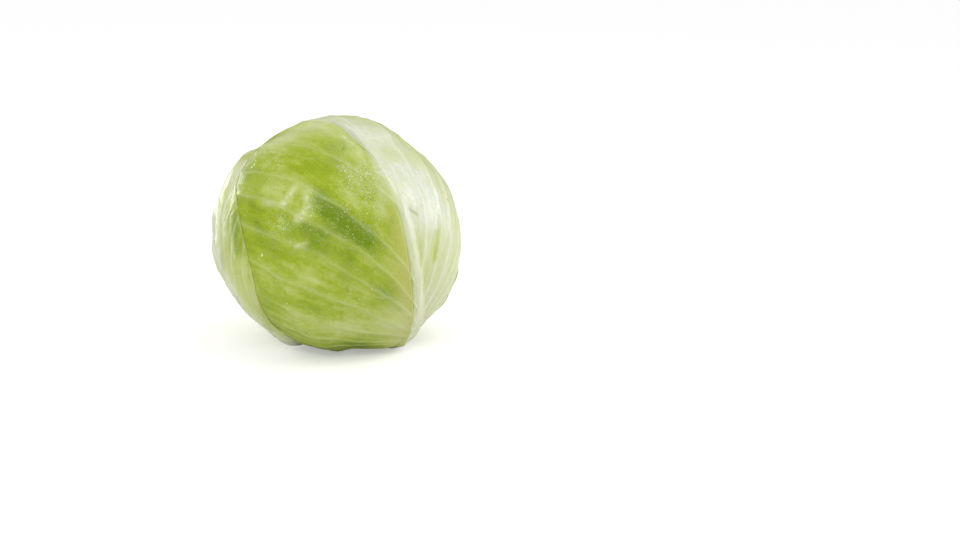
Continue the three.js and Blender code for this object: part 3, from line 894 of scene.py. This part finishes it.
def waxyLeafMaterial():
    # fresh cabbage leaf with the wax it grew: soft light through the blade and broad broken highlights,
    # partly gloss and partly painted into the colour with the bloom
    material = newMaterial("cabbage leaf, grown waxy skin")
    add = partial(addNode, material)
    layers = {}
    for name in ("tone", "pale", "rib", "cream", "olive", "bloom", "bruise", "comb", "net"):
        layer = add("Attribute", {"attribute_name": name})
        layers[name] = layer.outputs["Vector" if name in ("comb", "net") else "Fac"]
    patterns = leafPatterns(add, layers)
    hues = ("olive", "rib", "cream", "greenBloomAndHighlight", "bloom", "bruise")
    olive, ribGreen, cream, greenBloomAndHighlight, whitish, brown = (linear(waxyLeaf[hue]) for hue in hues)

    tone = add("Math", {"operation": "ADD", 1: waxyLeaf["toneShift"]}, {0: layers["tone"]})
    for name, weight in waxyLeaf["toneBy"].items():
        tone = add("Math", {"operation": "MULTIPLY_ADD", 1: weight},
                   {0: patterns[name], 2: tone.outputs[0]})
    body = add("ValToRGB", None, {"Fac": tone.outputs[0]})
    ramp = body.color_ramp
    for _, at in waxyLeaf["greens"][1:-1]:
        ramp.elements.new(at)
    for element, (green, _) in zip(ramp.elements, waxyLeaf["greens"]):
        element.color = linear(green)

    # the relief of the combs stops at the midribs
    offRib = add("Math", {"operation": "SUBTRACT", "use_clamp": True, 0: 1}, {1: layers["rib"]})
    relief = add("Math", {"operation": "MULTIPLY"}, {0: patterns["fineComb"], 1: offRib.outputs[0]})
    for name, weight in waxyLeaf["reliefBy"].items():
        relief = add("Math", {"operation": "MULTIPLY_ADD", 1: weight},
                     {0: patterns[name], 2: relief.outputs[0]})
    bump = add("Bump", waxyLeaf["relief"], {"Height": relief.outputs[0]}).outputs["Normal"]

    # veins, midribs and the wax bloom with its painted highlights are broken up, so that none of them looks
    # painted on
    for layer, name in (("pale", "broken"), ("pale", "cloudy"), ("rib", "stripes"), ("bloom", "streaks"),
                        ("bloom", "ragged")):
        broken = add("Math", {"operation": "MULTIPLY"}, {0: layers[layer], 1: patterns[name]})
        layers[layer] = broken.outputs[0]
    veins = add("Math", {"operation": "MAXIMUM"}, {0: layers["pale"], 1: layers["rib"]})
    pale = add("Math", {"operation": "MULTIPLY_ADD", "use_clamp": True, 1: waxyLeaf["faint"]},
               {0: patterns["thread"], 2: veins.outputs[0]})

    # a mix of colours has its share in socket 0, the two colours in 6 and 7 and its result in output 2
    toned = add("Mix", {"data_type": "RGBA", 7: olive}, {0: layers["olive"], 6: body.outputs["Color"]})
    ribbed = add("Mix", {"data_type": "RGBA", 6: ribGreen, 7: cream}, {0: layers["cream"]})
    coloured = add("Mix", {"data_type": "RGBA"},
                   {0: pale.outputs[0], 6: toned.outputs[2], 7: ribbed.outputs[2]})
    # wax bloom and painted highlight: the skin turns towards a whitish wax colour, greener on green skin
    bloomAndHighlightColour = add("Mix", {"data_type": "RGBA", 6: greenBloomAndHighlight, 7: whitish}, {0: layers["cream"]})
    withBloomAndHighlight = add("Mix", {"data_type": "RGBA"},
                  {0: layers["bloom"], 6: coloured.outputs[2], 7: bloomAndHighlightColour.outputs[2]})
    colour = add("Mix", {"data_type": "RGBA", 7: brown}, {0: layers["bruise"], 6: withBloomAndHighlight.outputs[2]})

    skin = add("BsdfPrincipled", waxyLeaf["skin"], {
        "Base Color": colour.outputs[2],
        "Roughness": patterns["roughness"],
        "Normal": bump,
        "Coat Normal": bump,
    })
    add("OutputMaterial", None, {"Surface": skin.outputs["BSDF"]})
    return material


def heartMesh():
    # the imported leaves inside, seen only between the wrapper leaves and underneath
    bm = bmesh.new()
    bmesh.ops.create_icosphere(bm, subdivisions=6, radius=1)
    mesh = meshFrom(bm, "heart_fine")
    d = coordinates(mesh)
    d /= np.linalg.norm(d, axis=1)[:, None]
    radius = heartRadius(d) - headForm["slack"]
    place(mesh, headCentre + d * radius[:, None])
    mesh.shade_smooth()
    return mesh


# the leaf's skin without its veins, at its palest
heartSkin = {"tone": 0.1, "pale": 0, "cream": 1, "olive": 0, "bruise": 0}
for leaf in leaves:
    prepareLeaf(leaf)
leafMaterial = waxyLeafMaterial()
laid = bmesh.new()  # everything laid down so far, for the next leaf to lie on
heart = newPiece("heart_fine", heartMesh())
heart.data.materials.append(leafMaterial)
for name, level in heartSkin.items():
    keep(heart.data, name, np.full(len(heart.data.vertices), float(level)))
laid.from_mesh(heart.data)
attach(heart, "root")
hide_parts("heart")
print("heart", len(heart.data.vertices), "vertices")
for i, leaf in enumerate(leaves):
    piece = buildLeaf(leaf, leaves[:i], leaves[i + 1:], BVHTree.FromBMesh(laid))
    laid.from_mesh(piece.data)
    piece.data.materials.append(leafMaterial)
    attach(piece, "root")
    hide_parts(leaf["name"])
    print("leaf", leaf["name"], len(piece.data.vertices), "vertices")

stalkForm = {
    "cutRadius": 13.2,
    "radius": 12.6,
    "height": 5,
    "bevel": 0.8,
    "rounding": 0.25,  # half way round the bevel
    "steps": 128,
    "rings": 14,  # on the cut face
    "sideRings": 6,
    "wood": (0.72, 0.05),  # where its woody ring lies and how wide, as shares of the radius
    "sideWood": 0.4,
    "hollow": (0.5, 0.35),  # mm deep in the middle and its width as a share of the radius
    "groove": 0.25,  # mm deep along the woody ring
    "grain": (0.12, 1.5),  # mm deep and mm across
    "scars": 9,  # of the leaves that were broken off round it
    "scarDepth": 0.35,
    "seed": 21,
}


def stalkMesh():
    cutRadius, bevel, height = stalkForm["cutRadius"], stalkForm["bevel"], stalkForm["height"]
    rounding, rings, sideRings = stalkForm["rounding"], stalkForm["rings"], stalkForm["sideRings"]
    profile = [((cutRadius - bevel) * k / rings, 0) for k in range(rings + 1)]
    profile += [(cutRadius - rounding, rounding), (cutRadius, bevel)]
    for k in range(1, sideRings + 1):
        share = k / sideRings
        profile.append((lerp(cutRadius, stalkForm["radius"], share), lerp(bevel, height, share)))
    profile.append((0, height))
    bm = bmesh.new()
    verts = [bm.verts.new((radius, 0, z)) for radius, z in profile]
    edges = [bm.edges.new(pair) for pair in zip(verts, verts[1:])]
    bmesh.ops.spin(bm, geom=verts + edges, cent=(0, 0, 0), axis=(0, 0, 1), angle=2 * math.pi,
                   steps=stalkForm["steps"], use_merge=True)
    bmesh.ops.remove_doubles(bm, verts=bm.verts[:], dist=1e-4)
    bmesh.ops.recalc_face_normals(bm, faces=bm.faces[:])
    mesh = meshFrom(bm, "stalk_fine")

    at = coordinates(mesh)
    out = np.hypot(at[:, 0], at[:, 1])
    share = out / cutRadius
    turn = np.arctan2(at[:, 1], at[:, 0])
    wood, woodWidth = stalkForm["wood"]
    deep, wide = stalkForm["hollow"]
    grain, grainSize = stalkForm["grain"]
    onCut = (at[:, 2] < 0.1) & (share < 0.9)
    ring = np.exp(-((share - wood) / woodWidth) ** 2)
    hollow = deep * np.exp(-(share / wide) ** 2) + stalkForm["groove"] * ring
    grooves = grain * (1 + pattern(at, grainSize, stalkForm["seed"], 2))
    at[:, 2] += np.where(onCut, hollow + grooves, 0)
    onSide = (at[:, 2] > 0.5) & (at[:, 2] < height - 0.1)
    scars = -stalkForm["scarDepth"] * (1 - np.cos(stalkForm["scars"] * turn + at[:, 2])) / 2
    slim = 1 + np.where(onSide, scars / np.maximum(out, 1), 0)
    at[:, :2] *= slim[:, None]
    keep(mesh, "wood", np.where(share < 0.95, ring, stalkForm["sideWood"]))
    place(mesh, at + np.array([growthAxis.x, growthAxis.y, 0]) / milli)
    mesh.shade_smooth()
    return mesh


cutStalk = {
    "pith": "#e9e6cd",
    "wood": "#cdbf8e",
    "dried": "#b79f6a",
    "stain": 6,  # mm
    "stained": {"From Min": 0.5, "From Max": 0.75, "To Min": 0, "To Max": 0.7},
    "pores": 0.7,  # mm
    "relief": {"Strength": 0.5, "Distance": 0.0002},
    "surface": {"Roughness": 0.7, "Specular IOR Level": 0.3},
}


def cutStalkMaterial():
    # cabbage stalk, cut with a knife and dried for a day: dull, slightly browned and full of fine pores
    material = newMaterial("cabbage stalk, knife cut and dried")
    add = partial(addNode, material)
    pith, woody, dried = (linear(cutStalk[hue]) for hue in ("pith", "wood", "dried"))
    coords = add("TexCoord").outputs["Object"]
    wood = add("Attribute", {"attribute_name": "wood"}).outputs["Fac"]
    stain = add("TexNoise", {"Scale": 1000 / cutStalk["stain"], "Detail": 4}, {"Vector": coords})
    pores = add("TexVoronoi", {"Scale": 1000 / cutStalk["pores"]}, {"Vector": coords})
    flesh = add("Mix", {"data_type": "RGBA", 6: pith, 7: woody}, {0: wood})
    browned = add("MapRange", cutStalk["stained"], {"Value": stain.outputs["Fac"]})
    colour = add("Mix", {"data_type": "RGBA", 7: dried},
                 {0: browned.outputs["Result"], 6: flesh.outputs[2]})
    bump = add("Bump", cutStalk["relief"], {"Height": pores.outputs["Distance"]})
    skin = add("BsdfPrincipled", cutStalk["surface"],
               {"Base Color": colour.outputs[2], "Normal": bump.outputs["Normal"]})
    add("OutputMaterial", None, {"Surface": skin.outputs["BSDF"]})
    return material


stalk = newPiece("stalk_fine", stalkMesh())
stalk.data.materials.append(cutStalkMaterial())
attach(stalk, "root")
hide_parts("stalk")
print("stalk", len(stalk.data.vertices), "vertices")

# drops of water, in groups that lie along a line on the head: from, to, spread in degrees, drops and size
dew = {
    "seed": 5,
    "radius": (0.14, 0.5),  # least and most, for a group of size 1
    "smallness": 2.2,  # the higher, the more of them are small
    "longest": 1.25,  # downhill, as a share of the width
    "height": 0.62,  # as a share of the radius, as is the next
    "lifted": 0.18,
    "groups": [
        ((3, 134), (26, 131), 2.4, 200, 1.2),
        ((6, 124), (17, 121), 3.5, 200, 0.9),
        ((9, 138), (21, 124), 6, 200, 0.9),
        ((24, 122), (14, 110), 6, 300, 0.85),
        ((-17, 116), (24, 96), 6, 480, 0.7),
        ((-56, 141), (-36, 136), 4, 60, 1),
        ((-34, 110), (-23, 102), 3.5, 110, 0.8),
        ((-40, 118), (-22, 124), 6, 50, 0.7),
        ((30, 150), (70, 120), 12, 50, 1),
        ((0, 90), (0, 60), 20, 60, 1),
        ((120, 140), (160, 100), 18, 180, 1),
        ((-150, 120), (-100, 120), 16, 180, 1),
    ],
    "runs": [(73, 110, 1.6), (-34, 93, 1.4), (150, 104, 2.2)],  # place and half length of those that ran
    "runRadius": 0.8,
}


def bead():
    bm = bmesh.new()
    bmesh.ops.create_uvsphere(bm, u_segments=8, v_segments=5, radius=1)
    return meshFrom(bm, "bead")


def dropOn(bm, tree, spot, radius, stretch):
    # one drop where the outermost leaf is, drawn out downhill by stretch
    centre = Vector(headCentre * milli)
    towards = Vector(direction(*spot))
    hit, normal, _, _ = tree.ray_cast(centre + towards * headForm["outside"] * milli, -towards)
    if hit is None:
        return
    if normal.dot(towards) < 0:
        normal = -normal
    down = (Vector((0, 0, -1)) + normal * normal.z).normalized()
    across = normal.cross(down)
    size = radius * milli
    turned = Matrix((across, down, normal)).transposed().to_4x4()
    sized = Matrix.Diagonal((size, size * stretch, size * dew["height"], 1))
    lifted = Matrix.Translation(hit + normal * size * dew["lifted"])
    drop = bead()
    drop.transform(lifted @ turned @ sized)
    bm.from_mesh(drop)
    bpy.data.meshes.remove(drop)


def dewMesh(tree):
    random = np.random.default_rng(dew["seed"])
    bm = bmesh.new()
    for start, end, spread, drops, size in dew["groups"]:
        for _ in range(drops):
            share = random.uniform()
            azimuth = lerp(start[0], end[0], share) + random.normal(0, spread)
            polar = lerp(start[1], end[1], share) + random.normal(0, spread)
            radius = lerp(*dew["radius"], random.uniform() ** dew["smallness"]) * size
            dropOn(bm, tree, (azimuth, polar), radius, random.uniform(1, dew["longest"]))
    for azimuth, polar, long in dew["runs"]:
        dropOn(bm, tree, (azimuth, polar), dew["runRadius"], long / dew["runRadius"])
    mesh = meshFrom(bm, "dew")
    mesh.shade_smooth()
    return mesh


# the drops' colour is a painted glint: a diffuse pale green that makes them read as bright specks
water = {"paintedGlint": "#e8f2bc", "surface": {"Roughness": 0.02, "IOR": 1.333, "Transmission Weight": 0.25}}


def waterMaterial():
    # clean water beaded on wax: mostly a diffuse pale green, a painted glint standing in for the light that
    # a drop gathers and throws back, with one hard bright point on it
    material = newMaterial("water, standing drops")
    bead = addNode(material, "BsdfPrincipled", {"Base Color": linear(water["paintedGlint"]), **water["surface"]})
    addNode(material, "OutputMaterial", None, {"Surface": bead.outputs["BSDF"]})
    return material


drops = newPiece("dew", dewMesh(BVHTree.FromBMesh(laid)))
drops.data.materials.append(waterMaterial())
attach(drops, "root")
print("dew", len(drops.data.polygons), "faces")
laid.free()

# the camera: its lens in mm, metres from the head's centre and degrees up, right and down
view = {
    "lens": 70,
    "distance": 1.3067,
    "elevation": 13,
    "pan": 4.526,
    "tilt": 14.083,
}
elevation = math.radians(view["elevation"])
cameraData = bpy.data.cameras.new("camera")
cameraData.lens = view["lens"]
camera = newPiece("camera", cameraData)
camera.location = (
    growthAxis.x,
    growthAxis.y - view["distance"] * math.cos(elevation),
    headForm["centreHeight"] * milli + view["distance"] * math.sin(elevation),
)
camera.rotation_euler = (math.radians(90 - view["tilt"]), 0, -math.radians(view["pan"]))
bpy.context.scene.camera = camera

# how bright the room is as light, as seen in gloss and as seen behind the head
studio = {
    "fill": 0.78,
    "mirrored": 0.3,
    "backdrop": 1,
    "paper": 0.84,
    "paperGlow": 0.35,
    "floor": 4,  # half its width in metres
}
world = bpy.data.worlds.new("studio")
world.use_nodes = True
world.node_tree.nodes["Background"].inputs["Color"].default_value = (1, 1, 1, 1)
ray = addNode(world, "LightPath").outputs
glow = addNode(world, "Mix", {2: studio["fill"], 3: studio["mirrored"]}, {0: ray["Is Glossy Ray"]})
glow = addNode(world, "Mix", {3: studio["backdrop"]}, {0: ray["Is Camera Ray"], 2: glow.outputs[0]})
world.node_tree.links.new(glow.outputs[0], world.node_tree.nodes["Background"].inputs["Strength"])
bpy.context.scene.world = world
bpy.context.scene.view_settings.view_transform = "Standard"

# soft boxes: azimuth and elevation round the head in degrees, distance and size in metres, power in watts
softBoxes = {
    "left_box": {"from": (-140, 4), "distance": 0.9, "size": (0.2, 0.5), "power": 1.7},
    "right_box": {"from": (104, 22), "distance": 0.9, "size": (0.4, 0.6), "power": 2.4},
    "front_box": {"from": (-33, 34), "distance": 1.2, "size": (0.25, 0.25), "power": 2.2},
    "top_box": {"from": (42, 60), "distance": 1.1, "size": (0.3, 0.3), "power": 1.2},
}
for name, box in softBoxes.items():
    lightData = bpy.data.lights.new(name, "AREA")
    lightData.shape = "RECTANGLE"
    lightData.size, lightData.size_y = box["size"]
    lightData.energy = box["power"]
    light = newPiece(name, lightData)
    azimuth, height = box["from"]
    towards = Vector(direction(azimuth, 90 + height))
    light.location = Vector(headCentre * milli) + towards * box["distance"]
    light.rotation_euler = towards.to_track_quat("Z", "Y").to_euler()
print("camera and", len(softBoxes), "soft boxes")


def paperMaterial():
    # white studio paper: matte, and even up to the head, so that only the soft contact shadow shows on it
    material = newMaterial("white studio paper, matte and lit from below")
    watched = addNode(material, "LightPath").outputs["Is Camera Ray"]
    glow = addNode(material, "Math", {"operation": "MULTIPLY", 1: studio["paperGlow"]}, {0: watched})
    white = (*[studio["paper"]] * 3, 1)
    paper = addNode(material, "BsdfPrincipled",
                    {"Base Color": white, "Roughness": 0.9, "Emission Color": (1, 1, 1, 1)},
                    {"Emission Strength": glow.outputs[0]})
    addNode(material, "OutputMaterial", None, {"Surface": paper.outputs["BSDF"]})
    return material


bm = bmesh.new()
bmesh.ops.create_grid(bm, x_segments=1, y_segments=1, size=studio["floor"])
floor = newPiece("floor", meshFrom(bm, "floor"))
floor.data.materials.append(paperMaterial())
print("floor", 2 * studio["floor"], "m wide")
